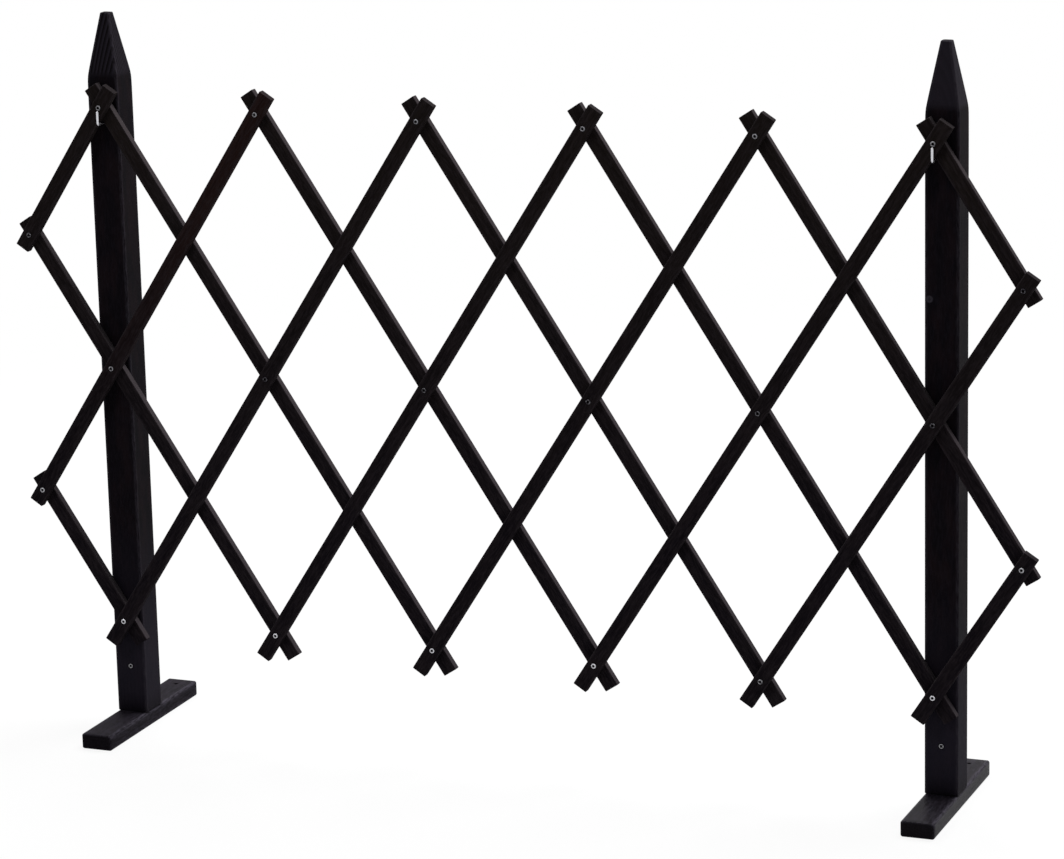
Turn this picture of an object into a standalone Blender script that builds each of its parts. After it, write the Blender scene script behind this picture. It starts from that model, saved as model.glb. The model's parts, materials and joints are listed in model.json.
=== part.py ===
"""Folding trellis: an expanding lattice of riveted slats, hung on two footed posts.

Lengths are in metres and +Z is up. X runs along the lattice, and Y runs from the front, where the
slats hang, to the back. The origin lies on the ground, midway between the two posts.

The crossings of the lattice lie on a grid of half pitches. A back slat runs down to the right, so
its column minus its row stays the same. A front slat runs down to the left, so its column plus its
row stays the same. Every second row of crossings is riveted all along. In the rows between, only the
two outer crossings have a rivet, and the slats just pass each other at the rest.
"""
import math

import bmesh
import bpy
from mathutils import Matrix

# Posts and feet
post_side = 0.045
post_tip = 0.014
taper_height = 0.0855
shoulder_above_hook = 0.060
post_arris = 0.001
foot_length = 0.268
foot_thick = 0.0215
foot_corner = 0.003
peg_hole_radius = 0.0022
peg_hole_inset = 0.022
spare_hole_radius = 0.0013
spare_hole_depth = 0.008
spare_hole_drop = 0.0105
spare_hole_offset = 0.0085

# Lattice, opened as it hangs: width and height run between the outer pivots over the posts
lattice_width = 1.1608
lattice_height = 0.7191
lattice_clearance = 0.1005
slat_width = 0.0205
slat_thick = 0.0105
top_overhang = 0.031
side_overhang = 0.022
bottom_overhang = 0.0385
last_row = 4
last_column = 10

# Tubular rivets
rivet_bore_radius = 0.0013
rivet_wall = 0.0009
rivet_lip = 0.0014
rivet_head_height = 0.0011
rivet_play = 0.00055

# Hooks that the lattice hangs on
hook_wire = 0.0034
hook_bend = 0.0034
hook_embed = 0.022
hook_tip_drop = 0.0038
hook_standoff = 0.0018
hook_inset = 0.005

# Screws
screw_head_radius = 0.0032
screw_shank_radius = 0.0017
screw_head_height = 0.0026
screw_recess_radius = 0.0012
screw_recess_depth = 0.0014
screw_point = 0.004
front_screw_length = 0.030
front_screw_rise = 0.0665
front_screw_proud = 0.0003
foot_screw_length = 0.045
foot_screw_spacing = 0.024
foot_screw_sunk = 0.001

# Gaps
joint_gap = 0.0003
layer_gap = 0.0003
post_gap = 0.0022
cut_overrun = 0.001

# Facets
hole_sides = 12
rivet_sides = 10
screw_sides = 10
bend_steps = 6
corner_steps = 2
wire_facets = 2
round_profile_share = 0.5

# Pivot grid, and the heights that follow from the lattice and what carries it
step_x = lattice_width / last_column
step_z = lattice_height / last_row
pivot_pitch = math.hypot(step_x, step_z)
open_half_angle = math.atan2(step_x, step_z)
slat_end_reach = bottom_overhang * math.cos(open_half_angle) + slat_width / 2 * math.sin(open_half_angle)
bottom_pivot_z = foot_thick + lattice_clearance + slat_end_reach
top_pivot_z = bottom_pivot_z + last_row * step_z
hang_drop = (slat_width / 2 + hook_wire / 2 + joint_gap) / math.sin(open_half_angle)
hook_z = top_pivot_z - hang_drop
shoulder_z = hook_z + shoulder_above_hook
post_top_z = shoulder_z + taper_height
post_bottom_z = foot_thick + joint_gap
foot_width = post_side

# Layers from the post's front face outwards, each given as a place along Y
post_front_y = -post_side / 2
back_slat_y = post_front_y - post_gap - slat_thick / 2
front_slat_y = back_slat_y - slat_thick - layer_gap
slat_face_y = front_slat_y - slat_thick / 2
hook_leg_y = slat_face_y - hook_standoff - hook_wire / 2
rivet_y = (back_slat_y + front_slat_y) / 2
post_x = lattice_width / 2 + hook_inset

# The hole in a slat clears the rivet's barrel, also where both are faceted
rivet_barrel_radius = rivet_bore_radius + rivet_wall
slat_hole_radius = rivet_barrel_radius + rivet_play
hook_hole_radius = hook_wire / 2 + joint_gap
screw_hole_radius = screw_shank_radius + joint_gap


def clear_scene():
    """Removes every object, so that the script starts from nothing."""
    for old in list(bpy.data.objects):
        bpy.data.objects.remove(old, do_unlink=True)


def linear(channel):
    """Turns one sRGB channel into the linear value that a shader expects."""
    if channel <= 0.04045:
        return channel / 12.92
    return ((channel + 0.055) / 1.055) ** 2.4


def material(name, red, green, blue, roughness, metallic):
    """Makes a plain material from sRGB channels between 0 and 255."""
    made = bpy.data.materials.new(name)
    made.use_nodes = True
    shader = made.node_tree.nodes["Principled BSDF"]
    colour = [linear(channel / 255) for channel in (red, green, blue)]
    shader.inputs["Base Color"].default_value = (*colour, 1.0)
    shader.inputs["Roughness"].default_value = roughness
    shader.inputs["Metallic"].default_value = metallic
    made.diffuse_color = (*colour, 1.0)
    return made


def place(name, data, finish, x=0.0, y=0.0, z=0.0):
    """Puts a mesh or curve into the scene at a place, with its material."""
    made = bpy.data.objects.new(name, data)
    bpy.context.scene.collection.objects.link(made)
    made.location = (x, y, z)
    if finish is not None and not data.materials:
        data.materials.append(finish)
    return made


def to_mesh(name, shape):
    """Turns a bmesh into a mesh with its faces pointing out."""
    bmesh.ops.recalc_face_normals(shape, faces=shape.faces)
    mesh = bpy.data.meshes.new(name)
    shape.to_mesh(mesh)
    shape.free()
    return mesh


def turned(name, profile, sides):
    """Turns a profile of (radius, height) points round Z. It closes at the axis or as a ring."""
    shape = bmesh.new()
    corners = [shape.verts.new((radius, 0.0, height)) for radius, height in profile]
    edges = [shape.edges.new(pair) for pair in zip(corners, corners[1:])]
    if profile[0][0] > 0:
        edges.append(shape.edges.new((corners[-1], corners[0])))
    bmesh.ops.spin(
        shape, geom=corners + edges, cent=(0, 0, 0), axis=(0, 0, 1), angle=math.tau,
        steps=sides, use_merge=True, use_duplicate=False)
    bmesh.ops.remove_doubles(shape, verts=shape.verts, dist=joint_gap / 100)
    mesh = to_mesh(name, shape)
    mesh.shade_smooth()
    mesh.set_sharp_from_angle(angle=math.radians(40))
    return mesh


def drill(name, cuts):
    """Joins turned cutters into one hidden object. Each cut is (profile, sides, matrix)."""
    shape = bmesh.new()
    for profile, sides, matrix in cuts:
        mesh = turned(name, profile, sides)
        mesh.transform(matrix)
        shape.from_mesh(mesh)
        bpy.data.meshes.remove(mesh)
    cutter = place(name, to_mesh(name, shape), None)
    cutter.hide_render = True
    cutter.display_type = "WIRE"
    return cutter


def cut(target, cutter):
    """Subtracts a cutter from an object."""
    boolean = target.modifiers.new("holes", "BOOLEAN")
    boolean.operation = "DIFFERENCE"
    boolean.object = cutter


def plain_hole(radius, depth):
    """Profile of a round hole that goes down from z = 0, with its overrun above."""
    return [(0.0, cut_overrun), (radius, cut_overrun), (radius, -depth), (0.0, -depth)]


def facing_front(x, y, z):
    """Matrix that turns a piece made along Z, so that its top faces the front."""
    return Matrix.Translation((x, y, z)) @ Matrix.Rotation(math.pi / 2, 4, "X")


def facing_down(x, y, z):
    """Matrix that turns a piece made along Z upside down."""
    return Matrix.Translation((x, y, z)) @ Matrix.Rotation(math.pi, 4, "X")


def post_mesh():
    """A square post with a four-sided tapered top and lightly eased long edges."""
    shape = bmesh.new()
    rings = (
        (post_side, post_bottom_z),
        (post_side, shoulder_z),
        (post_tip, post_top_z),
    )
    loops = []
    for side, height in rings:
        half = side / 2
        places = ((-half, -half), (half, -half), (half, half), (-half, half))
        loops.append([shape.verts.new((x, y, height)) for x, y in places])
    for low, high in zip(loops, loops[1:]):
        for near, far, far_up, near_up in zip(low, low[1:] + low[:1], high[1:] + high[:1], high):
            shape.faces.new((near, far, far_up, near_up))
    shape.faces.new(loops[0][::-1])
    shape.faces.new(loops[-1])
    long_edges = [edge for edge in shape.edges if abs(edge.verts[0].co.z - edge.verts[1].co.z) > post_tip]
    bmesh.ops.bevel(shape, geom=long_edges, offset=post_arris, segments=1, affect="EDGES")
    return to_mesh("post", shape)


def foot_mesh():
    """A flat board that runs from front to back, with its upright corners rounded."""
    shape = bmesh.new()
    half_x = foot_width / 2
    half_y = foot_length / 2
    outline = ((-half_x, -half_y), (half_x, -half_y), (half_x, half_y), (-half_x, half_y))
    base = shape.faces.new([shape.verts.new((x, y, 0.0)) for x, y in outline])
    raised = bmesh.ops.extrude_face_region(shape, geom=[base])
    top = [item for item in raised["geom"] if isinstance(item, bmesh.types.BMVert)]
    bmesh.ops.translate(shape, verts=top, vec=(0.0, 0.0, foot_thick))
    upright = [edge for edge in shape.edges if abs(edge.verts[0].co.z - edge.verts[1].co.z) > foot_thick / 2]
    bmesh.ops.bevel(
        shape, geom=upright, offset=foot_corner, segments=corner_steps,
        profile=round_profile_share, affect="EDGES")
    return to_mesh("foot", shape)


def overhang(row):
    """How far a slat runs on past its outermost rivet, by the row that the rivet is in."""
    if row == 0:
        return top_overhang
    return bottom_overhang if row == last_row else side_overhang


def slat_mesh(name, hole_numbers, upper_overhang, lower_overhang):
    """A flat slat along local X, which points downwards, with a round hole for each rivet.

    A hole's number counts pitches from the slat's own origin, which lies on its joint's axis.
    """
    shape = bmesh.new()
    half = slat_width / 2
    left = hole_numbers[0] * pivot_pitch - upper_overhang
    right = hole_numbers[-1] * pivot_pitch + lower_overhang
    outlines = [[(left, -half), (right, -half), (right, half), (left, half)]]
    for number in hole_numbers:
        middle = number * pivot_pitch
        turns = [math.tau * (side + 0.5) / hole_sides for side in range(hole_sides)]
        outlines.append([
            (middle + slat_hole_radius * math.cos(turn), slat_hole_radius * math.sin(turn))
            for turn in turns])
    edges = []
    for outline in outlines:
        points = [shape.verts.new((x, -slat_thick / 2, z)) for x, z in outline]
        edges += [shape.edges.new(pair) for pair in zip(points, points[1:] + points[:1])]
    bmesh.ops.triangle_fill(shape, edges=edges, use_beauty=True)
    raised = bmesh.ops.extrude_face_region(shape, geom=shape.faces[:])
    back = [item for item in raised["geom"] if isinstance(item, bmesh.types.BMVert)]
    bmesh.ops.translate(shape, verts=back, vec=(0.0, slat_thick, 0.0))
    return to_mesh(name, shape)


def rivet_mesh():
    """A tubular rivet along Z: domed lip in front, barrel through both slats, rolled lip behind."""
    bore = rivet_bore_radius
    barrel = rivet_barrel_radius
    lip = barrel + rivet_lip
    crown = (bore + lip) / 2
    grip = slat_thick + layer_gap / 2 + joint_gap
    mouth_share = 0.45
    brow_share = 0.35
    mouth = grip + rivet_head_height * mouth_share
    brow = grip + rivet_head_height * brow_share
    top = grip + rivet_head_height
    profile = [
        (bore, mouth), (crown, top), (lip, brow), (lip, grip), (barrel, grip),
        (barrel, -grip), (lip, -grip), (lip, -brow), (crown, -top), (bore, -mouth),
    ]
    return turned("rivet", profile, rivet_sides)


def screw_profile(length):
    """Countersunk screw along Z, head up with its flat top at z = 0."""
    return [
        (0.0, -screw_recess_depth),
        (screw_recess_radius, 0.0),
        (screw_head_radius, 0.0),
        (screw_shank_radius, -screw_head_height),
        (screw_shank_radius, -length + screw_point),
        (0.0, -length),
    ]


def screw_seat(length, sunk):
    """Hole for a screw whose head lies this far below the surface at z = 0."""
    head = screw_head_radius + joint_gap
    return [
        (0.0, cut_overrun),
        (head, cut_overrun),
        (head, -sunk - joint_gap),
        (screw_hole_radius, -sunk - screw_head_height - joint_gap),
        (screw_hole_radius, -length - joint_gap),
        (0.0, -length - joint_gap),
    ]


def hook(name, x, finish):
    """A square-bend hook: a shank out of the post, a bend, and a leg that stands up in front."""
    bend_y = hook_leg_y + hook_bend
    leg_top_z = top_pivot_z - hook_tip_drop
    route = [(post_front_y + hook_embed, hook_z)]
    for step in range(bend_steps + 1):
        turn = math.pi / 2 * step / bend_steps
        route.append((bend_y - hook_bend * math.sin(turn), hook_z + hook_bend * (1 - math.cos(turn))))
    route.append((hook_leg_y, leg_top_z))
    wire = bpy.data.curves.new(name, "CURVE")
    wire.dimensions = "3D"
    wire.bevel_depth = hook_wire / 2
    wire.bevel_resolution = wire_facets
    wire.use_fill_caps = True
    line = wire.splines.new("POLY")
    line.points.add(len(route) - 1)
    line.use_smooth = True
    for point, (y, z) in zip(line.points, route):
        point.co = (0.0, y, z, 1.0)
    return place(name, wire, finish, x)


def post_group(side_name, direction, wood, foot_wood, steel, zinc):
    """One post with its foot, hook and screws. Direction is -1 on the left and +1 on the right."""
    centre_x = direction * post_x
    hook_x = centre_x - direction * hook_inset
    screw_z = foot_thick + front_screw_rise
    screw_depth = front_screw_length - front_screw_proud

    post = place(f"{side_name}_post", post_mesh(), wood, centre_x)
    holes = [
        (plain_hole(hook_hole_radius, hook_embed + joint_gap), hole_sides,
         facing_front(hook_x, post_front_y, hook_z)),
        (screw_seat(screw_depth, -front_screw_proud), hole_sides,
         facing_front(centre_x, post_front_y, screw_z)),
    ]
    for way in (-1, 1):
        into_post = foot_screw_sunk + foot_screw_length - post_bottom_z + joint_gap
        holes.append((plain_hole(screw_hole_radius, into_post), hole_sides,
                      facing_down(centre_x, way * foot_screw_spacing / 2, post_bottom_z)))
    if direction < 0:
        holes.append((plain_hole(spare_hole_radius, spare_hole_depth), hole_sides,
                      facing_front(centre_x - spare_hole_offset, post_front_y, shoulder_z - spare_hole_drop)))
    cut(post, drill(f"{side_name}_post_drill", holes))

    foot = place(f"{side_name}_foot", foot_mesh(), foot_wood, centre_x)
    rear_y = foot_length / 2 - peg_hole_inset
    seats = [(plain_hole(peg_hole_radius, foot_thick + cut_overrun), hole_sides,
              Matrix.Translation((centre_x, rear_y, foot_thick)))]
    for way in (-1, 1):
        seats.append((screw_seat(foot_thick + cut_overrun, foot_screw_sunk), hole_sides,
                      facing_down(centre_x, way * foot_screw_spacing / 2, 0.0)))
    cut(foot, drill(f"{side_name}_foot_drill", seats))

    hook(f"{side_name}_hook", hook_x, zinc)

    front_screw = place(
        f"{side_name}_front_screw", turned("front_screw", screw_profile(front_screw_length), screw_sides),
        steel, centre_x, post_front_y - front_screw_proud, screw_z)
    front_screw.rotation_euler = (math.pi / 2, 0.0, 0.0)

    for way, end_name in ((-1, "front"), (1, "rear")):
        foot_screw = place(
            f"{side_name}_foot_screw_{end_name}",
            turned("foot_screw", screw_profile(foot_screw_length), screw_sides),
            steel, centre_x, way * foot_screw_spacing / 2, foot_screw_sunk)
        foot_screw.rotation_euler = (math.pi, 0.0, 0.0)


def pivot_place(column, row):
    """Place of a crossing along X and Z."""
    return (column - last_column / 2) * step_x, top_pivot_z - row * step_z


def riveted(column, row):
    """Whether a crossing has a rivet: all of every second row, and the outer ones of the rest."""
    if row % 2 == 0:
        return 0 <= column <= last_column
    return column in (-1, last_column + 1)


def riveted_rows(line, slope):
    """Rows in which a slat has a rivet. Slope is +1 for a back slat and -1 for a front slat."""
    return [row for row in range(last_row + 1) if riveted(line + slope * row, row)]


def lattice(wood, zinc):
    """All slats, each with its origin on the rivet that its joint turns about, and all rivets."""
    carrier_rows = {
        "back": {1: 4, 2: 1, 3: 0, 4: 2, 5: 2, 6: 2, 7: 0, 8: 1},
        "front": {1: 0, 2: 2, 3: 2, 4: 4, 5: 4, 6: 0, 7: 2, 8: 3},
    }
    layers = (("back", 1, -last_row, back_slat_y), ("front", -1, 0, front_slat_y))
    for layer, slope, first_line, layer_y in layers:
        for number, carrier_row in carrier_rows[layer].items():
            line = first_line + 2 * (number - 1)
            x, z = pivot_place(line + slope * carrier_row, carrier_row)
            name = f"{layer}_slat_{number}"
            rows = riveted_rows(line, slope)
            numbers = [row - carrier_row for row in rows]
            mesh = slat_mesh(name, numbers, overhang(rows[0]), overhang(rows[-1]))
            slat = place(name, mesh, wood, x, layer_y, z)
            slat.rotation_euler = (0.0, math.pi / 2 - slope * open_half_angle, 0.0)

    mesh = rivet_mesh()
    row_names = ("top", "upper", "middle", "lower", "bottom")
    for row, row_name in enumerate(row_names):
        crossings = range(-(row % 2), last_column + 2, 2)
        columns = [column for column in crossings if riveted(column, row)]
        for number, column in enumerate(columns, 1):
            x, z = pivot_place(column, row)
            rivet = place(f"rivet_{row_name}_{number}", mesh, zinc, x, rivet_y, z)
            rivet.rotation_euler = (math.pi / 2, 0.0, 0.0)


clear_scene()
stained = material("stained_softwood", 32, 26, 26, 0.55, 0.0)
stained_foot = material("stained_softwood_foot", 48, 44, 46, 0.6, 0.0)
stained_slat = material("stained_slat", 30, 24, 24, 0.55, 0.0)
zinc_plate = material("zinc_plated_steel", 190, 190, 188, 0.35, 1.0)
screw_steel = material("screw_steel", 168, 168, 170, 0.4, 1.0)
post_group("left", -1, stained, stained_foot, screw_steel, zinc_plate)
post_group("right", 1, stained, stained_foot, screw_steel, zinc_plate)
lattice(stained_slat, zinc_plate)
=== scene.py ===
"""Folding trellis: the looks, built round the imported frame.

A lattice of dark stained softwood laths, riveted together, hangs on two hooks in front of two square
posts with tapered tops. Lengths are in metres, +Z is up, and the slats hang on the -Y side.
"""
import json
import math

import bpy
import numpy as np
from mathutils import Matrix, Vector


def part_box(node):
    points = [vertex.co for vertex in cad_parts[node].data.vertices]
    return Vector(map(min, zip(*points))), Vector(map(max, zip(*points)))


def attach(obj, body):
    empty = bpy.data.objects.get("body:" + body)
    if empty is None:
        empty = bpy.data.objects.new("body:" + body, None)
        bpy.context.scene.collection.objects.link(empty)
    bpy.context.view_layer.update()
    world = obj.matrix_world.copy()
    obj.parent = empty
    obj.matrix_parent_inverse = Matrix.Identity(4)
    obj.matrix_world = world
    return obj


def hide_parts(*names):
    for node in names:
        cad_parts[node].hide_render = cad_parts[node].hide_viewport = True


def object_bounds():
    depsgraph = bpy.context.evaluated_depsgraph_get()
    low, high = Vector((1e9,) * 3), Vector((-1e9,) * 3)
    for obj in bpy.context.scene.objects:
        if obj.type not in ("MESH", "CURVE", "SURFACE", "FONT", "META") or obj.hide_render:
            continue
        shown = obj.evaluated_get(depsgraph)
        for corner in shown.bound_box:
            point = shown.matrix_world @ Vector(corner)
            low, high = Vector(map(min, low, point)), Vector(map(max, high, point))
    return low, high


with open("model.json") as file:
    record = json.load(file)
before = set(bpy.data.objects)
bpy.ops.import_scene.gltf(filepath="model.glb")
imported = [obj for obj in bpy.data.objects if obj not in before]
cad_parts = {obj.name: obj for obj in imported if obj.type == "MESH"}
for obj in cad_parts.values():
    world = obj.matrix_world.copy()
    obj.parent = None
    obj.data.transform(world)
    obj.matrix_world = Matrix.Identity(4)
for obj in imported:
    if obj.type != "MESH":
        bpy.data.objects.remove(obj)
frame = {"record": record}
cad_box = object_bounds()

# Camera: where the photograph was taken from, found by fitting the part's corners and rivets to it.
# It stands off to the right, looks down a little and is rolled by about a degree.
camera_azimuth = math.radians(21.91)
camera_elevation = math.radians(13.89)
camera_roll = math.radians(-1.37)
camera_distance = 5.315
camera_target = Vector((0.0178, 0.0, 0.4646))
photo_width_pixels = 1064
focal_length_pixels = 4013.4

back = Vector((
    math.sin(camera_azimuth) * math.cos(camera_elevation),
    -math.cos(camera_azimuth) * math.cos(camera_elevation),
    math.sin(camera_elevation)))
level_right = Vector((math.cos(camera_azimuth), math.sin(camera_azimuth), 0.0))
level_up = back.cross(level_right)
rolled_right = math.cos(camera_roll) * level_right + math.sin(camera_roll) * level_up
rolled_up = math.cos(camera_roll) * level_up - math.sin(camera_roll) * level_right
camera = bpy.data.objects.new("camera", bpy.data.cameras.new("camera"))
bpy.context.scene.collection.objects.link(camera)
camera.data.lens = focal_length_pixels / photo_width_pixels * camera.data.sensor_width
camera.data.clip_end = 100.0
facing = Matrix((rolled_right, rolled_up, back)).transposed().to_4x4()
camera.matrix_world = Matrix.Translation(camera_target + back * camera_distance) @ facing
bpy.context.scene.camera = camera
bpy.context.scene.view_settings.view_transform = "Standard"


# Studio: a white sweep in an even light. A wide lamp high behind on the right rakes over every edge that
# faces up, one behind on the left fills in the back, and a smaller one high in front throws the slats'
# soft shadows on what is behind them. The camera and anything shiny see a white world.
def linear(code):
    """Turns an sRGB hex colour such as "1f1716" into the linear values that a shader expects.

    A channel near black is divided by 12.92, and a lighter one follows the standard's power of 2.4.
    """
    channels = [int(code[at:at + 2], 16) / 255 for at in (0, 2, 4)]
    return [c / 12.92 if c <= 0.04045 else ((c + 0.055) / 1.055) ** 2.4 for c in channels] + [1.0]


def add_node(tree, kind, inputs, **settings):
    """Adds a node. Its inputs, by name or number, are given as plain values or as sockets to link."""
    made = tree.nodes.new(kind)
    for name, value in settings.items():
        setattr(made, name, value)
    for name, value in inputs.items():
        if isinstance(value, bpy.types.NodeSocket):
            tree.links.new(value, made.inputs[name])
        else:
            made.inputs[name].default_value = value
    return made


def seen_directly(tree):
    """One for a ray from the camera, off something shiny or through glass, and zero for plain light."""
    ray = add_node(tree, "ShaderNodeLightPath", {}).outputs
    shiny = add_node(tree, "ShaderNodeMath", {0: ray["Is Glossy Ray"], 1: ray["Is Transmission Ray"]},
                     operation="MAXIMUM")
    return add_node(tree, "ShaderNodeMath", {0: ray["Is Camera Ray"], 1: shiny.outputs[0]},
                    operation="MAXIMUM").outputs[0]


world_light = 0.3
# Each lamp has its place, its width and its power in watts.
lamps = {
    "raking_lamp": (Vector((1.3, 1.6, 4.4)), 2.4, 400.0),
    "front_lamp": (Vector((-1.2, -3.0, 3.8)), 1.2, 50.0),
    "rear_lamp": (Vector((-1.8, 2.6, 4.2)), 2.0, 180.0)}
floor_half = 30.0
fade_start = 1.1
fade_end = 3.2
paper_glow = 0.9
paper_tone = "bebebe"

world = bpy.data.worlds.new("studio")
bpy.context.scene.world = world
world.use_nodes = True
sky = world.node_tree
sky.nodes.clear()
strength = add_node(sky, "ShaderNodeMapRange", {
    "Value": seen_directly(sky), "To Min": world_light, "To Max": 1.0}).outputs[0]
background = add_node(sky, "ShaderNodeBackground", {
    "Color": linear("ffffff"), "Strength": strength}).outputs[0]
add_node(sky, "ShaderNodeOutputWorld", {"Surface": background})

middle = (cad_box[0] + cad_box[1]) / 2
for lamp_name, (lamp_place, lamp_width, watts) in lamps.items():
    lamp = bpy.data.objects.new(lamp_name, bpy.data.lights.new(lamp_name, "AREA"))
    lamp.data.size = lamp_width
    lamp.data.energy = watts
    bpy.context.scene.collection.objects.link(lamp)
    lamp_turn = (lamp_place - middle).to_track_quat("Z", "Y").to_matrix().to_4x4()
    lamp.matrix_world = Matrix.Translation(lamp_place) @ lamp_turn

# The sweep's white paper is matt, and fades into the white world a few metres away from the trellis.
floor_mesh = bpy.data.meshes.new("floor")
floor_corners = [(x * floor_half, y * floor_half, 0.0) for x, y in ((-1, -1), (1, -1), (1, 1), (-1, 1))]
floor_mesh.from_pydata(floor_corners, [], [(0, 1, 2, 3)])
floor = bpy.data.objects.new("floor", floor_mesh)
bpy.context.scene.collection.objects.link(floor)
paper = bpy.data.materials.new("sweep_paper")
paper.use_nodes = True
sheet = paper.node_tree
sheet.nodes.clear()
spot = add_node(sheet, "ShaderNodeTexCoord", {}).outputs["Object"]
away = add_node(sheet, "ShaderNodeVectorMath", {0: spot}, operation="LENGTH").outputs["Value"]
fade = add_node(sheet, "ShaderNodeMapRange", {
    "Value": away, "From Min": fade_start, "From Max": fade_end, "To Min": paper_glow},
    interpolation_type="SMOOTHSTEP").outputs[0]
share = add_node(sheet, "ShaderNodeMath", {
    0: fade, 1: seen_directly(sheet)}, operation="MULTIPLY").outputs[0]
matt = add_node(sheet, "ShaderNodeBsdfDiffuse", {"Color": linear(paper_tone)}).outputs[0]
white = add_node(sheet, "ShaderNodeEmission", {"Color": linear("ffffff")}).outputs[0]
mixed = add_node(sheet, "ShaderNodeMixShader", {0: share, 1: matt, 2: white}).outputs[0]
add_node(sheet, "ShaderNodeOutputMaterial", {"Surface": mixed})
floor_mesh.materials.append(paper)


# Posts: two lengths of square planed softwood with a four-sided tapered top, sawn and sanded by hand,
# so that the shoulder and the arrises are soft. Each is drilled for its hook and for one front screw,
# and the left one has a spare hole below its shoulder.
record = frame["record"]
body_of = {node: body for body, nodes in record["behaviour"]["bodies"].items() for node in nodes}

# Every board is cut at a place of its own along a log. The draws have a fixed seed.
log_seed = 11
log_length = 3.0
log_draws = np.random.default_rng(log_seed)

# How far the middle of each post lies aside and inward from the pith, and how clearly its rings show.
post_pith = {"left": (-0.07, 0.1), "right": (0.01, 0.05)}
post_figure = {"left": 1.0, "right": 0.15}

post_tip = 0.014
taper_height = 0.0855
post_arris = 0.002
finial_arris = 0.003
least_arris = 0.0004
shoulder_softness = 0.0011
post_end_round = 0.001
# How far from an arris its paler tone reaches: partly rubbed wear, partly a painted highlight.
rubbed_highlit_reach = 0.0018
sanded_fade = 0.008

# Rows of points go up the shaft, from above its lower end to below the shoulder, and on from below the
# shoulder to below the tip. Columns lie at shares of a face's flat part, closest near the arrises.
shaft_rows, shaft_rows_above, shaft_rows_below = 30, 0.01, 0.03
top_rows, top_rows_before, top_rows_below = 24, 0.025, 0.004
post_column_shares = (-1, -0.96, -0.87, -0.72, -0.5, -0.25, 0, 0.25, 0.5, 0.72, 0.87, 0.96, 1)
side_column_shares = (-1, -0.96, -0.84, 0, 0.84, 0.96, 1)
place_decimals, share_decimals = 6, 4
arris_steps = 4
end_steps = 4
end_turn_degrees = 75
cap_share = 0.9
board_sharp_degrees = 35

# A hole lies in the middle of a square block of the face, whose edges are this far from the middle.
hole_block = 0.006
block_steps = 4
hole_rim = 0.0004
hook_hole_radius = 0.0018
hook_hole_depth = 0.024
head_hole_radius = 0.0034
head_hole_depth = 0.0035
spare_hole_radius = 0.0013
spare_hole_depth = 0.008
spare_hole_drop = 0.0105
spare_hole_offset = 0.0085


def put_in_place(piece, node):
    """The piece stands for a node: it rides on the node's body, and the node itself is hidden."""
    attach(piece, body_of[node])
    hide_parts(node)


def solid(name, points, faces, material, sharp_degrees):
    """Makes an object of points and faces, with all faces outwards.

    The faces are turned round if the volume, a sixth of the sum of each fan triangle's corner products,
    comes out below zero. Points that no face uses are left out.
    """
    used = np.unique(np.concatenate([np.ravel(face) for face in faces]))
    number = np.zeros(len(points), int)
    number[used] = np.arange(len(used))
    fans = np.concatenate([
        np.stack([np.broadcast_to(face[..., 0:1], face[..., 1:-1].shape), face[..., 1:-1], face[..., 2:]],
                 axis=-1).reshape(-1, 3) for face in faces])
    corners = points[fans]
    volume = np.einsum("ij,ij->i", corners[:, 0], np.cross(corners[:, 1], corners[:, 2])).sum()
    polygons = []
    for face in faces:
        rows = number[np.atleast_2d(face)]
        polygons += (rows if volume > 0 else rows[:, ::-1]).tolist()
    mesh = bpy.data.meshes.new(name)
    mesh.from_pydata(points[used], [], polygons)
    mesh.shade_smooth()
    mesh.set_sharp_from_angle(angle=math.radians(sharp_degrees))
    mesh.materials.append(material)
    made = bpy.data.objects.new(name, mesh)
    bpy.context.scene.collection.objects.link(made)
    return made, used


def in_order(runs, decimals):
    """The values of all the runs in rising order, each one once, rounded to so many decimals."""
    return np.unique(np.concatenate(runs).round(decimals))


def drawn_in(places, ends, radius):
    """How far a rounded end draws in: the radius less the height of a quarter circle at each place."""
    past = np.maximum(np.maximum(ends[0] + radius - places, places - ends[1] + radius), 0.0)
    return radius - np.sqrt(np.maximum(radius ** 2 - past ** 2, 0.0))


def end_places(ends, radius):
    """Places near both ends of a board: the end, drawn back by the radius times one minus a sine."""
    turn = np.linspace(0, math.radians(end_turn_degrees), end_steps + 1)
    back_by = radius * (1 - np.sin(turn))
    return np.concatenate([ends[0] + back_by, ends[1] - back_by])


def block_places(middle_place):
    """Places through a hole's block, evenly spaced from one edge of it to the other."""
    return middle_place + hole_block * np.linspace(-1, 1, block_steps + 1)


def plain_hole(radius, depth, through=False):
    """A drilled hole as (radius, depth) pairs: a softly broken edge, and the wall down to its depth.

    The edge is broken at the far side too if the hole goes through.
    """
    wall = [(radius + hole_rim, 0.0), (radius, hole_rim)]
    if through:
        return wall + [(radius, depth - hole_rim), (radius + hole_rim, depth)]
    return wall + [(radius, depth)]


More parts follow.
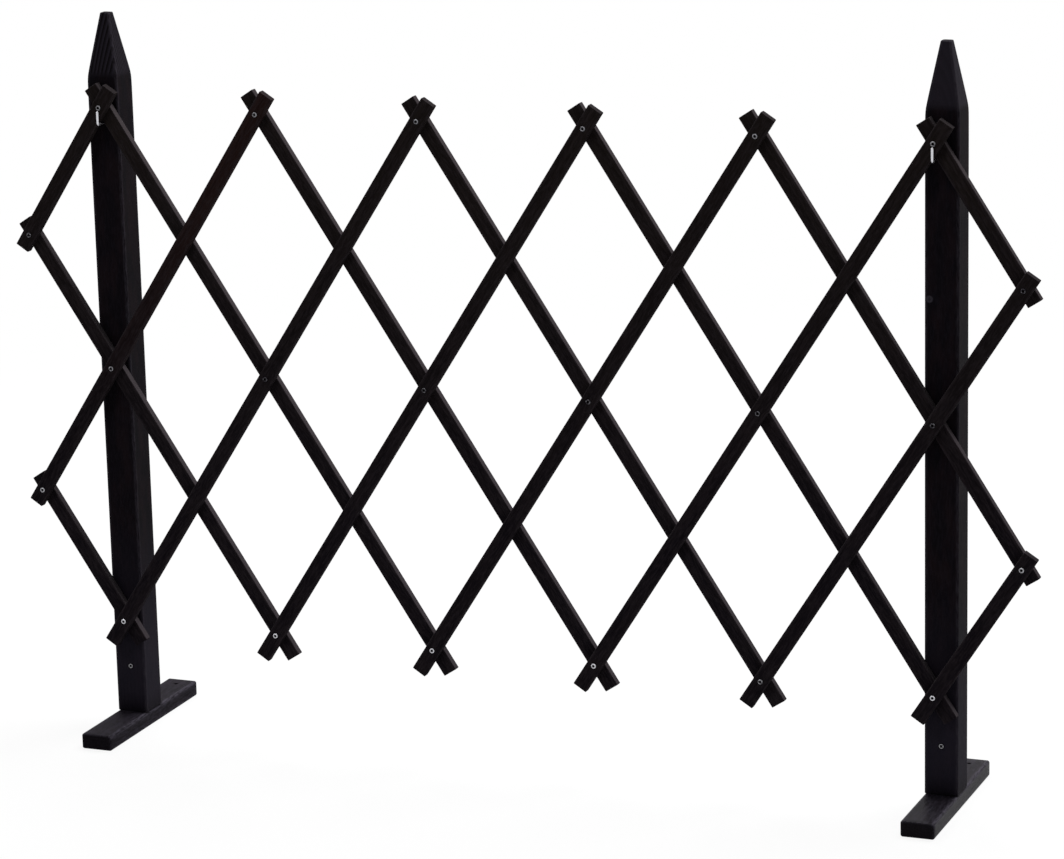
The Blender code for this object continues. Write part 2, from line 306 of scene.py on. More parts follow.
def board(name, axes, places, half_sizes, arris, columns, holes, log_place, material, figure=1.0, thin=0.0):
    """A board with rounded arrises, closed ends and drilled holes, as an object.

    The axes are its origin, its direction along and its direction in, from the front face to the back.
    A rounded rectangle is carried along the places: a point of it is its share of the half size less
    the arris radius, plus the arris radius times the direction of its arc. A hole has its place along
    and aside, its profile, and whether it goes through. Round it, the face gives way to rings from the
    edge of a square block to the rim and down the wall. A ring's point lies on the circle in the
    direction of the edge's own point, so that nothing is left open. The log place is where the board's
    origin lay from the pith. Figure is how clearly its rings show. Thin is how thin its stain is: such a
    board is duller, and browner high up.
    """
    arc = np.linspace(0, math.pi / 2, arris_steps + 1)[1:-1]
    sine, cosine = np.sin(arc), np.cos(arc)
    wide, deep = np.array(columns, float), np.array(side_column_shares, float)
    strips = [(wide, -1, 0, -1), (1, -1, sine, -cosine), (1, deep, 1, 0), (1, 1, cosine, sine),
              (wide[::-1], 1, 0, 1), (-1, 1, -sine, cosine), (-1, deep[::-1], -1, 0),
              (-1, -1, -cosine, -sine)]
    strips = [np.column_stack(np.broadcast_arrays(*strip)) for strip in strips]
    rim = np.concatenate(strips)
    back_start = sum(len(strip) for strip in strips[:4])

    half_width, half_depth = half_sizes
    round_by = np.broadcast_to(arris, places.shape)
    across = rim[:, 0] * (half_width - round_by)[:, None] + rim[:, 2] * round_by[:, None]
    inward = rim[:, 1] * (half_depth - round_by)[:, None] + rim[:, 3] * round_by[:, None]
    local = np.stack([np.broadcast_to(places[:, None], across.shape), across, inward], axis=-1)
    rows, loop = across.shape
    grid = np.arange(rows * loop).reshape(rows, loop)
    quads = np.stack([grid[:-1], np.roll(grid, -1, 1)[:-1], np.roll(grid, -1, 1)[1:], grid[1:]], axis=-1)
    kept = np.ones(quads.shape[:2], bool)
    flats = [
        (1 - np.abs(rim[:, axis])) * (np.max(half) - np.max(arris)) for axis, half in enumerate(half_sizes)]
    # Near an arris the wood is painted paler: partly rubbed wear, partly a painted highlight.
    rubbed_highlit = np.clip(1 - np.maximum(*flats) / rubbed_highlit_reach, 0, 1)
    points = [local.reshape(-1, 3)]
    rubbed_highlit_shares = [np.broadcast_to(rubbed_highlit, across.shape).ravel()]
    bare = [np.repeat((places <= places.min()) | (places >= places.max()), loop)]
    faces = []

    def add_ring(ring, end_grain):
        """Adds a ring of points, on end grain or not, and returns their numbers."""
        first = sum(len(part) for part in points)
        points.append(ring)
        rubbed_highlit_shares.append(np.zeros(len(ring)))
        bare.append(np.full(len(ring), end_grain))
        return np.arange(first, first + len(ring))

    def join(one, other):
        """Quads between two rings of the same length."""
        faces.append(np.stack([one, np.roll(one, -1), np.roll(other, -1), other], axis=-1))

    for along, aside, profile, through in holes:
        down, up = (int(np.abs(places - along - way * hole_block).argmin()) for way in (-1, 1))
        front = local[down, :len(wide), 1]
        left, right = (int(np.abs(front - aside - way * hole_block).argmin()) for way in (-1, 1))
        # The block's edge in the grid goes across its bottom, up, back across its top, and down.
        level, upright = np.ones(right - left, int), np.ones(up - down, int)
        edge_rows = np.concatenate([down * level, np.arange(down, up), up * level, np.arange(up, down, -1)])
        edge_columns = np.concatenate([
            np.arange(left, right), right * upright, np.arange(right, left, -1), left * upright])
        kept[down:up, left:right] = False
        edge = grid[edge_rows, edge_columns]
        outer = points[0][edge]
        toward = outer[:, :2] - (along, aside)
        toward /= np.linalg.norm(toward, axis=1)[:, None]
        rings = [
            np.column_stack([(along, aside) + toward * radius, outer[:, 2] + depth])
            for radius, depth in profile]
        chain = [edge, add_ring((outer + rings[0]) / 2, False)]
        chain += [add_ring(ring, True) for ring in rings]
        if through:
            behind = back_start + len(wide) - 1
            kept[down:up, behind - right:behind - left] = False
            last_edge = grid[edge_rows, behind - edge_columns]
            chain += [add_ring((points[0][last_edge] + rings[-1]) / 2, False), last_edge]
        else:
            faces.append(chain[-1])
        for one, other in zip(chain, chain[1:]):
            join(one, other)
    faces.append(quads[kept])
    for row, order in ((0, -1), (rows - 1, 1)):
        cap = add_ring(local[row] * (1, cap_share, cap_share), True)
        faces.append(cap[::order])
        if order > 0:
            join(grid[row], cap)
        else:
            join(cap, grid[row])

    points = np.concatenate(points)
    origin, direction, inside = (np.array(axis) for axis in axes)
    world_points = origin + points @ np.array([direction, np.cross(inside, direction), inside])
    made, used = solid(name, world_points, faces, material, board_sharp_degrees)
    for label, kind, values in (
            ("grain", "FLOAT_VECTOR", points + log_place), ("arris", "FLOAT", np.concatenate(rubbed_highlit_shares)),
            ("end_grain", "FLOAT", np.concatenate(bare)), ("figure", "FLOAT", np.full(len(points), figure)),
            ("thin", "FLOAT", np.full(len(points), thin))):
        layer = made.data.attributes.new(label, kind, "POINT")
        layer.data.foreach_set("vector" if kind == "FLOAT_VECTOR" else "value",
                               np.asarray(values, np.float32)[used].ravel())
    return made


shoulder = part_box("left_post")[1].z - taper_height
sanded_from, sanded_full = shoulder, shoulder + sanded_fade
knot_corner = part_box("right_post")[0]
knot_inset = 0.0062
knot_height = 0.677
knot_radius = 0.0053
knot_place = (knot_corner.x + knot_inset, knot_corner.y, knot_height)


def stained_softwood(name, ring_spacing, ring_shares, tones, fibre_share, roughness, bands,
                     painted_top_light=0.0, knot=None):
    """Planed softwood, soaked with a thin near-black stain that lets the figure show through.

    The eye gets a flat, dark sheen that only lights up at a slant, faint growth rings, fine fibres,
    browner patches where the stain took less, and arrises a little paler: partly rubbed, partly a painted
    highlight. All patterns are solid: they follow the board's own coordinates, in metres from its pith.
    The tones are those of the stain, its patches, the fibres and the rubbed and highlit arrises. Each band
    mixes in a colour by height: it starts at the first height, and reaches its share at the second. The
    rings show by one share on a planed face, and by another on a sanded taper. Faces that look up while
    the trellis stands open get a paler tone by the share given: painted light from above. A knot is a
    place, a radius and a tone: a round patch that took the stain thinly, fading at its edge and darker at
    its heart.
    """
    # Real fibres are a few hundredths of a millimetre wide: these are as coarse as they need to be to show.
    fibre_length, fibre_width, fibre_detail = 0.011, 0.0018, 3.0
    patch_length, patch_width, patch_detail = 0.045, 0.014, 2.0
    fibre_depth, relief_strength, ring_relief = 0.00025, 0.5, -0.4

    # At a scale of one, a ring texture turns by twenty radians a metre. Along the log it hardly changes.
    ring_radians, along_log = 20, 0.12
    ring_wander, ring_detail, ring_detail_scale = 2.4, 2.0, 0.35

    # Each pattern comes in between two levels of its noise, its rings, a height or a slope.
    patch_from, patch_full = 0.4, 0.64
    late_from, late_full, late_tone = 0.25, 0.75, "060405"
    fibre_from, fibre_full = 0.44, 0.64
    rubbed_highlit_from, rubbed_highlit_full, rubbed_highlit_least, rubbed_highlit_most = 0.35, 0.6, 0.1, 0.6
    thin_from, thin_full, thin_share, thin_tone = 0.45, 0.8, 0.13, "3c1510"
    level_from, level_full, top_light_tone = 0.1, 0.5, "484346"
    knot_fade, knot_heart, heart_share = 0.7, 0.5, 0.4
    end_share, end_tone = 0.6, "080607"
    dull_from, dull_full, dull_by = 0.3, 0.7, 0.14
    end_dull, thin_dull = 0.2, 0.3
    sheen = 0.02

    stain, brown, pale, rubbed_highlit = (linear(tone) for tone in tones)
    made = bpy.data.materials.new(name)
    made.use_nodes = True
    tree = made.node_tree
    shader = tree.nodes["Principled BSDF"]
    grain = add_node(tree, "ShaderNodeAttribute", {}, attribute_name="grain").outputs["Vector"]
    arris, end_grain, figure, thin = (
        add_node(tree, "ShaderNodeAttribute", {}, attribute_name=label).outputs["Fac"]
        for label in ("arris", "end_grain", "figure", "thin"))
    coordinates = add_node(tree, "ShaderNodeTexCoord", {}).outputs
    spot = coordinates["Object"]
    height = add_node(tree, "ShaderNodeSeparateXYZ", {0: spot}).outputs["Z"]
    upward = add_node(tree, "ShaderNodeSeparateXYZ", {0: coordinates["Normal"]}).outputs["Z"]

    # Fibres and patches are noise drawn out along the board, by the length and width of a feature.
    noises = []
    for length, width, detail in (
            (fibre_length, fibre_width, fibre_detail), (patch_length, patch_width, patch_detail)):
        drawn_out = add_node(tree, "ShaderNodeVectorMath", {
            0: grain, 1: (1 / length, 1 / width, 1 / width)}, operation="MULTIPLY").outputs[0]
        noises.append(add_node(tree, "ShaderNodeTexNoise", {
            "Vector": drawn_out, "Scale": 1.0, "Detail": detail}).outputs[0])
    fibres, patches = noises
    slow = add_node(tree, "ShaderNodeVectorMath", {
        0: grain, 1: (along_log, 1.0, 1.0)}, operation="MULTIPLY").outputs[0]
    rings = add_node(tree, "ShaderNodeTexWave", {
        "Vector": slow, "Scale": math.tau / ring_radians / ring_spacing, "Distortion": ring_wander,
        "Detail": ring_detail, "Detail Scale": ring_detail_scale},
        wave_type="RINGS", rings_direction="X", wave_profile="SAW").outputs["Fac"]

    # Each layer has a tone and the factors of its share. A factor is a socket, or else a socket, two of
    # its levels, and the shares that it is spread to between them.
    layers = [(brown, (patches, patch_from, patch_full, 0.0, 1.0))]
    layers += [(linear(tone), (height, start, full, 0.0, share)) for start, full, tone, share in bands]
    layers += [
        (linear(thin_tone), thin, (height, thin_from, thin_full, 0.0, thin_share)),
        (linear(late_tone), figure, (rings, late_from, late_full, 0.0, 1.0),
         (height, sanded_from, sanded_full, *ring_shares)),
        (pale, (fibres, fibre_from, fibre_full, 0.0, fibre_share)),
        # Arrises get a paler tone: partly rubbed wear, partly a painted highlight along them.
        (rubbed_highlit, arris, (fibres, rubbed_highlit_from, rubbed_highlit_full, rubbed_highlit_least, rubbed_highlit_most)),
        # Faces that look up get a paler tone: painted light from above.
        (linear(top_light_tone), (upward, level_from, level_full, 0.0, painted_top_light))]
    if knot:
        knot_at, knot_reach, knot_tone = knot
        from_knot = add_node(tree, "ShaderNodeVectorMath", {
            0: spot, 1: knot_at}, operation="DISTANCE").outputs["Value"]
        layers.append((linear(knot_tone), (from_knot, knot_reach * knot_fade, knot_reach, 1.0, 0.0),
                       (from_knot, 0.0, knot_reach * knot_heart, heart_share, 1.0)))
    layers.append((linear(end_tone), (end_grain, 0.0, 1.0, 0.0, end_share)))
    colour = stain
    for tone, *factors in layers:
        share = 1.0
        for factor in factors:
            if isinstance(factor, tuple):
                factor = add_node(tree, "ShaderNodeMapRange", dict(zip(
                    ("Value", "From Min", "From Max", "To Min", "To Max"), factor))).outputs[0]
            share = add_node(tree, "ShaderNodeMath", {0: share, 1: factor}, operation="MULTIPLY").outputs[0]
        colour = add_node(tree, "ShaderNodeMix", {0: share, 6: colour, 7: tone}, data_type="RGBA").outputs[2]
    tree.links.new(colour, shader.inputs["Base Color"])

    rough = add_node(tree, "ShaderNodeMapRange", {
        "Value": fibres, "From Min": dull_from, "From Max": dull_full,
        "To Min": roughness, "To Max": roughness + dull_by}).outputs[0]
    for where, duller in ((end_grain, end_dull), (thin, thin_dull)):
        rough = add_node(tree, "ShaderNodeMath", {
            0: where, 1: duller, 2: rough}, operation="MULTIPLY_ADD").outputs[0]
    tree.links.new(rough, shader.inputs["Roughness"])
    relief = add_node(tree, "ShaderNodeMath", {
        0: rings, 1: ring_relief, 2: fibres}, operation="MULTIPLY_ADD").outputs[0]
    bump = add_node(tree, "ShaderNodeBump", {
        "Height": relief, "Strength": relief_strength, "Distance": fibre_depth}).outputs[0]
    tree.links.new(bump, shader.inputs["Normal"])
    shader.inputs["Specular IOR Level"].default_value = sheen
    return made


# Each post is paler towards its lower part, with painted shade darkening it just above its foot. Its
# sanded top took the stain more thinly, so the rings show there.
# The right post has a small knot in its front, near the left arris.
post_wood = stained_softwood(
    "black_stained_post_pine", ring_spacing=0.0038, ring_shares=(0.12, 1.0),
    tones=("070508", "0f090c", "1b181e", "2b282e"), fibre_share=0.25, roughness=0.58,
    # The second band is painted shade, darkening each post where it stands on its foot.
    bands=[(0.3, 0.1, "1f1d26", 0.55), (0.05, 0.022, "060407", 0.7),
           (sanded_from, sanded_full, "221f26", 0.7)],
    knot=(knot_place, knot_radius, "29262c"))


def place_in_log(aside, inward):
    """A board's place in its log: somewhere along it, and this far aside and inward from the pith."""
    return np.array([log_draws.uniform(0.0, log_length), aside, inward])


for side in ("left", "right"):
    low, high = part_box(f"{side}_post")
    hook_low, hook_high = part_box(f"{side}_hook")
    screw_low, screw_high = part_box(f"{side}_front_screw")
    post_middle = (low + high) / 2
    half = (high.x - low.x) / 2
    hook_height = hook_low.z + (hook_high.x - hook_low.x) / 2
    screw_height = (screw_low.z + screw_high.z) / 2
    hook_aside = (hook_low.x + hook_high.x) / 2 - post_middle.x
    holes = [
        (hook_height, hook_aside, plain_hole(hook_hole_radius, hook_hole_depth), False),
        (screw_height, 0.0, plain_hole(head_hole_radius, head_hole_depth), False)]
    if side == "left":
        spare_hole = plain_hole(spare_hole_radius, spare_hole_depth)
        holes.append((shoulder - spare_hole_drop, -spare_hole_offset, spare_hole, False))
    ends = (low.z, high.z)
    shaft = np.linspace(low.z + shaft_rows_above, shoulder - shaft_rows_below, shaft_rows)
    top = np.linspace(shoulder - top_rows_before, high.z - top_rows_below, top_rows)
    places = in_order(
        [end_places(ends, post_end_round), shaft, top] + [block_places(hole[0]) for hole in holes],
        place_decimals)
    # The taper and the straight side meet in a smooth minimum: half the sum of both, less half the
    # root of their squared difference plus the squared softness.
    tapered = post_tip / 2 + (half - post_tip / 2) * (ends[1] - places) / taper_height
    sides = (half + tapered - np.sqrt((half - tapered) ** 2 + shoulder_softness ** 2)) / 2
    drawn = drawn_in(places, ends, post_end_round)
    up_the_taper = np.clip((places - shoulder) / taper_height, 0, 1)
    arris = post_arris + (finial_arris - post_arris) * up_the_taper - drawn
    columns = in_order(
        [post_column_shares] + [block_places(hole[1]) / (half - post_arris) for hole in holes],
        share_decimals)
    post = board(
        f"{side}_post_pine", ((post_middle.x, post_middle.y, 0.0), (0, 0, 1), (0, 1, 0)), places,
        (sides - drawn, sides - drawn), np.maximum(arris, least_arris), columns, holes,
        place_in_log(*post_pith[side]), post_wood, post_figure[side])
    put_in_place(post, f"{side}_post")


# Feet: a flat board of the same timber under each post, laid from front to back. Its top edges and its
# upright corners are sanded round. It has one peg hole at the rear, and two countersunk holes beneath.
# The stain on the left one is thin, which leaves its top duller.
foot_arris = 0.003
foot_corner = 0.003
peg_hole_radius = 0.0022
peg_hole_inset = 0.022
screw_hole_radius = 0.002
screw_sunk = 0.001
screw_head_height = 0.0026
foot_rows, foot_rows_after, foot_rows_before = 14, 0.01, 0.03
foot_thin = {"left": 1.0, "right": 0.0}
foot_pith_aside, foot_pith_inward = 0.02, 0.04
foot_wood = stained_softwood(
    "black_stained_foot_pine", ring_spacing=0.0038, ring_shares=(0.4, 0.4),
    tones=("110f14", "171419", "322f37", "3a373f"), fibre_share=0.3, roughness=0.3, bands=[])

for side in ("left", "right"):
    low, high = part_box(f"{side}_foot")
    foot_middle = (low + high) / 2
    foot_ends = (low.y - foot_middle.y, high.y - foot_middle.y)
    foot_half = (high.x - low.x) / 2
    foot_thick = high.z - low.z
    seat = foot_thick - screw_sunk
    countersunk = [
        (screw_hole_radius, 0.0), (screw_hole_radius, seat - screw_head_height), (head_hole_radius, seat),
        (head_hole_radius, foot_thick)]
    holes = [(foot_ends[1] - peg_hole_inset, 0.0, plain_hole(peg_hole_radius, foot_thick, True), True)]
    for end in ("front", "rear"):
        screw_low, screw_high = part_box(f"{side}_foot_screw_{end}")
        along = (screw_low.y + screw_high.y) / 2 - foot_middle.y
        holes.append((along, 0.0, countersunk, True))
    between = np.linspace(foot_ends[0] + foot_rows_after, foot_ends[1] - foot_rows_before, foot_rows)
    places = in_order(
        [end_places(foot_ends, foot_corner), between] + [block_places(hole[0]) for hole in holes],
        place_decimals)
    columns = in_order([post_column_shares, block_places(0.0) / (foot_half - foot_arris)], share_decimals)
    corner = drawn_in(places, foot_ends, foot_corner)
    edge = drawn_in(places, foot_ends, foot_arris)
    foot = board(
        f"{side}_foot_pine", ((foot_middle.x, foot_middle.y, foot_middle.z), (0, 1, 0), (0, 0, -1)), places,
        (foot_half - corner, foot_thick / 2 - edge), np.maximum(foot_arris - edge, least_arris), columns,
        holes, place_in_log(log_draws.uniform(-foot_pith_aside, foot_pith_aside), foot_pith_inward),
        foot_wood, thin=foot_thin[side])
    put_in_place(foot, f"{side}_foot")


# Slats: sixteen planed laths in two layers. Those of the front layer lean to the right as they rise, and
# those behind lean to the left. They are sawn off square, and drilled only where a rivet goes through.
# Their upper edges get a paler tone as painted light from above, and the stain is thin on one lath
# of the front layer.
slat_arris = 0.001
slat_least_arris = 0.0002
slat_rows_apart = 0.02
slat_rows_inset = 0.005
row_clearance = 0.001
rivet_hole_radius = 0.0025
on_the_line = 0.001
slat_column_shares = (-1, -0.95, -0.84, 0.84, 0.95, 1)
slat_thin = {"front_slat_2": 1.0}
slat_pith_aside, slat_pith_inward = 0.015, 0.03
slat_wood = stained_softwood(
    "black_stained_lath_pine", ring_spacing=0.0033, ring_shares=(0.3, 0.3),
    tones=("0f0c10", "161215", "2a2528", "231e21"), fibre_share=0.28, roughness=0.86,
    bands=[(0.35, 0.85, "1c1712", 0.5)], painted_top_light=0.31)

# The slats' slope comes from the rivets. Neighbours in the top row stand two pitches apart across, and
# the top and bottom rows four pitches apart.
rivet_places = {node: sum(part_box(node), Vector()) / 2 for node in body_of if node.startswith("rivet_")}
first_top, first_bottom = rivet_places["rivet_top_1"], rivet_places["rivet_bottom_1"]
pitch_x = (rivet_places["rivet_top_2"].x - first_top.x) / 2
pitch_z = (first_top.z - first_bottom.z) / 4
slope_sine, slope_cosine = np.array((pitch_x, pitch_z)) / math.hypot(pitch_x, pitch_z)

for node in sorted(name for name in body_of if "_slat_" in name):
    # A slat's box is its length and width, each times the sine or cosine, added up: this solves both back.
    low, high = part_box(node)
    slat_middle = (low + high) / 2
    size = high - low
    lean = 1 if node.startswith("front") else -1
    direction = Vector((lean * slope_sine, 0.0, slope_cosine))
    aside = Vector((0, 1, 0)).cross(direction)
    squareness = slope_cosine ** 2 - slope_sine ** 2
    slat_length = (size.z * slope_cosine - size.x * slope_sine) / squareness
    slat_width = (size.x * slope_cosine - size.z * slope_sine) / squareness
    hole_profile = plain_hole(rivet_hole_radius, size.y, True)
    holes = []
    for place in rivet_places.values():
        offset = place - slat_middle
        along = offset.dot(direction)
        if abs(offset.dot(aside)) < on_the_line and abs(along) < slat_length / 2:
            holes.append((along, 0.0, hole_profile, True))
    slat_ends = (-slat_length / 2, slat_length / 2)
    between = np.linspace(
        slat_ends[0] + slat_rows_inset, slat_ends[1] - slat_rows_inset, round(slat_length / slat_rows_apart))
    clear = np.all([np.abs(between - hole[0]) > hole_block + row_clearance for hole in holes], axis=0)
    places = in_order(
        [end_places(slat_ends, slat_arris), between[clear]] + [block_places(hole[0]) for hole in holes],
        place_decimals)
    columns = in_order(
        [slat_column_shares, block_places(0.0) / (slat_width / 2 - slat_arris)], share_decimals)
    drawn = drawn_in(places, slat_ends, slat_arris)
    slat = board(
        f"{node}_lath", (slat_middle, direction, (0, 1, 0)), places,
        (slat_width / 2 - drawn, size.y / 2 - drawn), np.maximum(slat_arris - drawn, slat_least_arris),
        columns, holes, place_in_log(log_draws.uniform(-slat_pith_aside, slat_pith_aside), slat_pith_inward),
        slat_wood, thin=slat_thin.get(node, 0.0))
    put_in_place(slat, node)


# Rivets: tubular eyelets of zinc-plated steel, pushed through both laths and rolled over at both ends,
# so that each shows as a bright ring round an open bore, with painted shade in it.
turn_steps = 48
rivet_bore_radius = 0.0013
rivet_barrel_radius = 0.0022
rivet_head_height = 0.0011
lip_steps = 14
# Turns of the lip over which painted shade fades out of the bore, and comes in where it meets the wood.
bore_shade_degrees = (40.5, 85.5)
foot_shade_degrees = (140, 180)
rivet_sharp_degrees = 50


def turned(name, origin, direction, profile, stain, material, sharp_degrees, closed=False, recess=None):
    """A turned piece: each profile row (radius, place along, darkness) is carried round the direction.

    Stain is the share of it that wood stain has covered. The darkness in each row is painted shade. From a
    point's place across the head, a recess gives how far the point sinks along and how much painted shade
    it gets there. A closed profile is a ring like a tube's, and an open one begins and ends in the middle
    with a small face.
    """
    direction = Vector(direction)
    first = direction.orthogonal().normalized()
    second = direction.cross(first)
    turn = np.arange(turn_steps) * math.tau / turn_steps
    radius, along, painted_shade = np.array(profile).T
    flat = np.stack([radius[:, None] * np.cos(turn), radius[:, None] * np.sin(turn)], axis=-1)
    along, painted_shade = np.repeat(along[:, None], turn_steps, 1), np.repeat(painted_shade[:, None], turn_steps, 1)
    if recess:
        sunk, shade = recess(flat[..., 0], flat[..., 1], along)
        along, painted_shade = along + sunk, np.maximum(painted_shade, shade)
    points = np.array(origin) + flat @ np.array([first, second]) + along[..., None] * np.array(direction)
    grid = np.arange(along.size).reshape(along.shape)
    if closed:
        one, other = grid, np.roll(grid, -1, 0)
    else:
        one, other = grid[:-1], grid[1:]
    walls = np.stack([one, np.roll(one, -1, 1), np.roll(other, -1, 1), other], axis=-1).reshape(-1, 4)
    faces = [walls] if closed else [walls, grid[0][::-1], grid[-1]]
    made, used = solid(name, points.reshape(-1, 3), faces, material, sharp_degrees)
    for label, values in (("painted_shade", painted_shade), ("stain", np.full_like(painted_shade, stain))):
        layer = made.data.attributes.new(label, "FLOAT", "POINT")
        layer.data.foreach_set("value", values.astype(np.float32).ravel()[used])
    return made


def plated_steel(name, colour, covered, roughness, patch_size):
    """Plated steel, bright where it is bare and dull grey where stain has dried on it in patches.

    The piece's own share of stain, swung up and down by noise, mixes in the covered tone and a rougher
    surface. Painted shade darkens it in hollows and where it meets the wood.
    """
    patch_detail, patch_from, patch_full, patch_swing = 3.0, 0.35, 0.65, 0.2
    rougher = 0.25
    # Painted shade in hollows and where the metal meets the wood mixes in this tone.
    painted_shade_tone = "0c0a0c"

    made = bpy.data.materials.new(name)
    made.use_nodes = True
    tree = made.node_tree
    shader = tree.nodes["Principled BSDF"]
    painted_shade, stain = (add_node(tree, "ShaderNodeAttribute", {}, attribute_name=label).outputs["Fac"]
                   for label in ("painted_shade", "stain"))
    spot = add_node(tree, "ShaderNodeTexCoord", {}).outputs["Object"]
    patches = add_node(tree, "ShaderNodeTexNoise", {
        "Vector": spot, "Scale": 1 / patch_size, "Detail": patch_detail}).outputs[0]
    patchy = add_node(tree, "ShaderNodeMapRange", {
        "Value": patches, "From Min": patch_from, "From Max": patch_full,
        "To Min": -patch_swing, "To Max": patch_swing}).outputs[0]
    cover = add_node(tree, "ShaderNodeMath", {
        0: stain, 1: patchy}, operation="ADD", use_clamp=True).outputs[0]
    tone = add_node(tree, "ShaderNodeMix", {
        0: cover, 6: linear(colour), 7: linear(covered)}, data_type="RGBA").outputs[2]
    with_painted_shade = add_node(tree, "ShaderNodeMix", {
        0: painted_shade, 6: tone, 7: linear(painted_shade_tone)}, data_type="RGBA").outputs[2]
    rough = add_node(tree, "ShaderNodeMapRange", {
        "Value": cover, "To Min": roughness, "To Max": roughness + rougher}).outputs[0]
    tree.links.new(with_painted_shade, shader.inputs["Base Color"])
    tree.links.new(rough, shader.inputs["Roughness"])
    shader.inputs["Metallic"].default_value = 1.0
    return made


zinc = plated_steel("zinc_plated_steel", "cfcfd4", "242126", roughness=0.3, patch_size=0.0015)
# How much of the rings in each row the stain has covered, and of the rings that differ from their row.
row_stain = {"top": 0.74, "upper": 0.92, "middle": 0.98, "lower": 0.58, "bottom": 0.2}
rivet_stain = {"rivet_middle_1": 0.77, "rivet_bottom_5": 0.81, "rivet_upper_2": 0.99}

for node in rivet_places:
    # The rolled lip is half an ellipse from the bore to the rim: its radius goes by the cosine of the
    # turn, and its height by the sine. Painted shade darkens it down in the bore and where it meets
    # the wood.
    low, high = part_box(node)
    lip_radius = (high.x - low.x) / 2
    grip = (high.y - low.y) / 2 - rivet_head_height
    lip_middle = (rivet_bore_radius + lip_radius) / 2
    lip_half = (lip_radius - rivet_bore_radius) / 2
    turn = np.linspace(0, math.pi, lip_steps + 1)
    in_bore = np.interp(turn, np.radians(bore_shade_degrees), (1, 0))
    at_foot = np.interp(turn, np.radians(foot_shade_degrees), (0, 1))
    rolled = np.column_stack([
        lip_middle - lip_half * np.cos(turn), grip + rivet_head_height * np.sin(turn), in_bore + at_foot])
    far_half = np.vstack([rolled, [(rivet_barrel_radius, grip, 0)]])
    near_half = far_half[::-1] * (1, -1, 1)
    stain = rivet_stain.get(node, row_stain[node.split("_")[1]])
    rivet = turned(
        f"{node}_eyelet", rivet_places[node], (0, 1, 0), np.vstack([far_half, near_half]), stain, zinc,
        rivet_sharp_degrees, closed=True)
    put_in_place(rivet, node)


# Hooks: square-bend screw hooks of the same plated wire, one in each post. The shank comes out of the
# post under the lattice's end crossing, and the leg stands up in front of it.
hook_bend = 0.0034
hook_turn_steps = 20
bend_steps = 10
dome_steps = 6
least_dome_share = 0.05
hook_sharp_degrees = 50

for side in ("left", "right"):
    # The wire's circle is carried along the shank, round a quarter turn and up the leg. At both ends
    # it shrinks as the cosine of the dome's angle while it moves on by the sine.
    low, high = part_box(f"{side}_hook")
    wire = (high.x - low.x) / 2
    shank_height, leg_place = low.z + wire, low.y + wire
    bend = np.linspace(0, math.pi / 2, bend_steps + 1)
    dome = np.linspace(math.pi / 2, 0, dome_steps + 1)
    level, upright = np.zeros_like(dome), np.full_like(dome, math.pi / 2)
    y = np.concatenate([
        high.y - wire * (1 - np.sin(dome)), leg_place + hook_bend * (1 - np.sin(bend)), leg_place + level])
    z = np.concatenate([
        shank_height + level, shank_height + hook_bend * (1 - np.cos(bend)),
        high.z - wire * (1 - np.sin(dome[::-1]))])
    tilt = np.concatenate([level, bend, upright])[:, None]
    radius = wire * np.concatenate([np.cos(dome), np.ones_like(bend), np.cos(dome[::-1])])[:, None]
    radius = np.maximum(radius, wire * least_dome_share)
    turn = np.arange(hook_turn_steps) * math.tau / hook_turn_steps
    x = (low.x + high.x) / 2 + radius * np.cos(turn)
    above = radius * np.sin(turn)
    points = np.stack([x, y[:, None] + above * np.sin(tilt), z[:, None] + above * np.cos(tilt)], axis=-1)
    grid = np.arange(x.size).reshape(x.shape)
    walls = np.stack([grid[:-1], np.roll(grid, -1, 1)[:-1], np.roll(grid, -1, 1)[1:], grid[1:]], axis=-1)
    hook_faces = [walls.reshape(-1, 4), grid[0][::-1], grid[-1]]
    hook, _ = solid(f"{side}_hook_wire", points.reshape(-1, 3), hook_faces, zinc, hook_sharp_degrees)
    put_in_place(hook, f"{side}_hook")


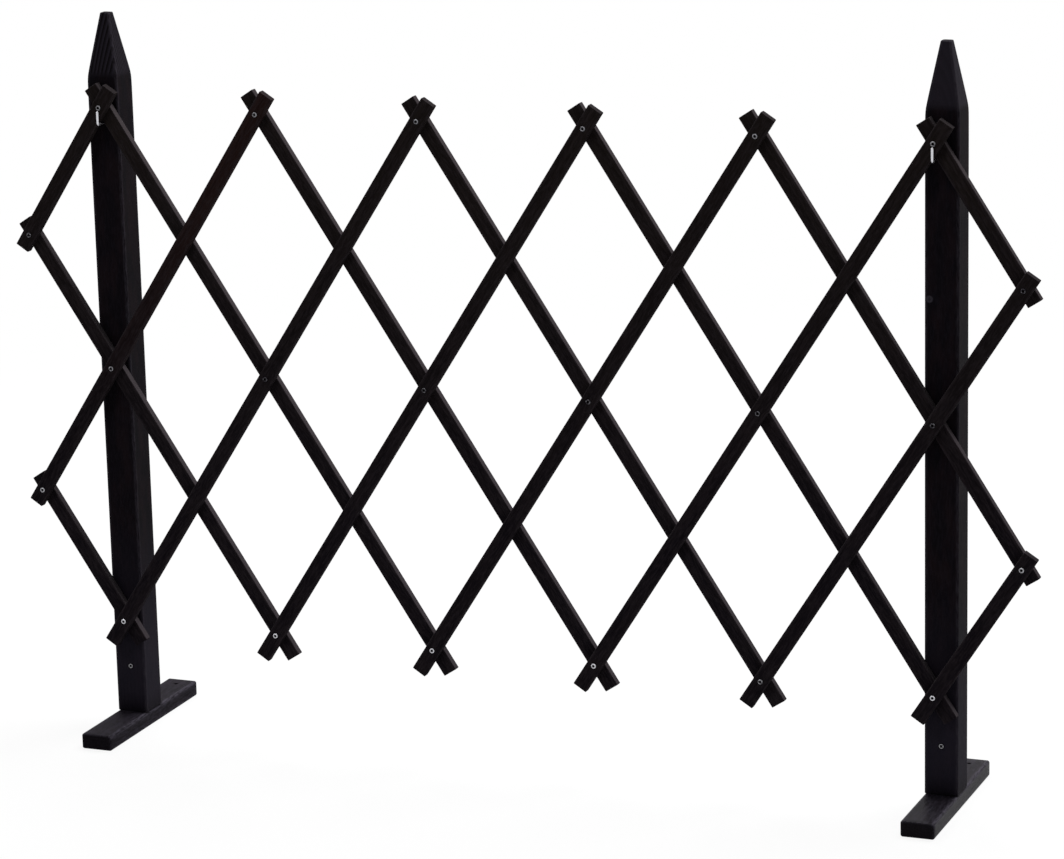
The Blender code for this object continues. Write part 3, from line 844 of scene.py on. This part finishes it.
# Screws: countersunk wood screws of plain bright steel with a cross recess. One is set into the front of
# each post above its foot, and two come up through each foot into the post.
screw_shank_radius = 0.0017
screw_point = 0.004
screw_point_radius = 0.0002
screw_edge = 0.0002
# Painted shade on the head's rim, where it meets the wood.
screw_edge_shade = 0.3
face_rings, face_middle_radius = 18, 0.0001
recess_reach = 0.0021
recess_half_slot = 0.00085
recess_depth = 0.0014
recess_edge = 0.0003
# The recess carries painted shade, full from this share of its depth on.
recess_shade_share = 0.5
screw_stain = 0.5
screw_sharp_degrees = 40
screw_steel = plated_steel("bright_screw_steel", "b4b4b8", "2a272b", roughness=0.34, patch_size=0.0012)


def cross_recess(x, y, along):
    """How deep the cross goes at a point of the head, and how dark it is there.

    It has its full depth inside either slot, fades at the slots' edges, and is none below the head.
    Painted shade darkens the recess, fully from half of that depth on.
    """
    in_slot = np.clip((recess_half_slot - np.minimum(np.abs(x), np.abs(y))) / recess_edge + 0.5, 0, 1)
    in_reach = np.clip((recess_reach - np.hypot(x, y)) / recess_edge + 0.5, 0, 1)
    depth_share = in_slot * in_reach * (along < screw_edge / 2)
    return recess_depth * depth_share, np.minimum(depth_share / recess_shade_share, 1)


screws = {f"{side}_front_screw": (0, 1, 0) for side in ("left", "right")}
screws |= {f"{side}_foot_screw_{end}": (0, 0, 1) for side in ("left", "right") for end in ("front", "rear")}
for node, direction in screws.items():
    low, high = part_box(node)
    direction = Vector(direction)
    screw_length = (high - low).dot(direction)
    head_radius = (high.x - low.x) / 2
    origin = (low + high) / 2 - direction * screw_length / 2
    face_radii = np.linspace(face_middle_radius, head_radius - 2 * screw_edge, face_rings)
    face = np.column_stack([face_radii, np.zeros((face_rings, 2))])
    below_face = [
        (head_radius - screw_edge, 0.0, screw_edge_shade), (head_radius, screw_edge, 1.0),
        (screw_shank_radius, screw_head_height, 0.0), (screw_shank_radius, screw_length - screw_point, 0.0),
        (screw_point_radius, screw_length, 0.0)]
    screw = turned(
        f"{node}_steel", origin, direction, np.vstack([face, below_face]), screw_stain, screw_steel,
        screw_sharp_degrees, recess=cross_recess)
    put_in_place(screw, node)
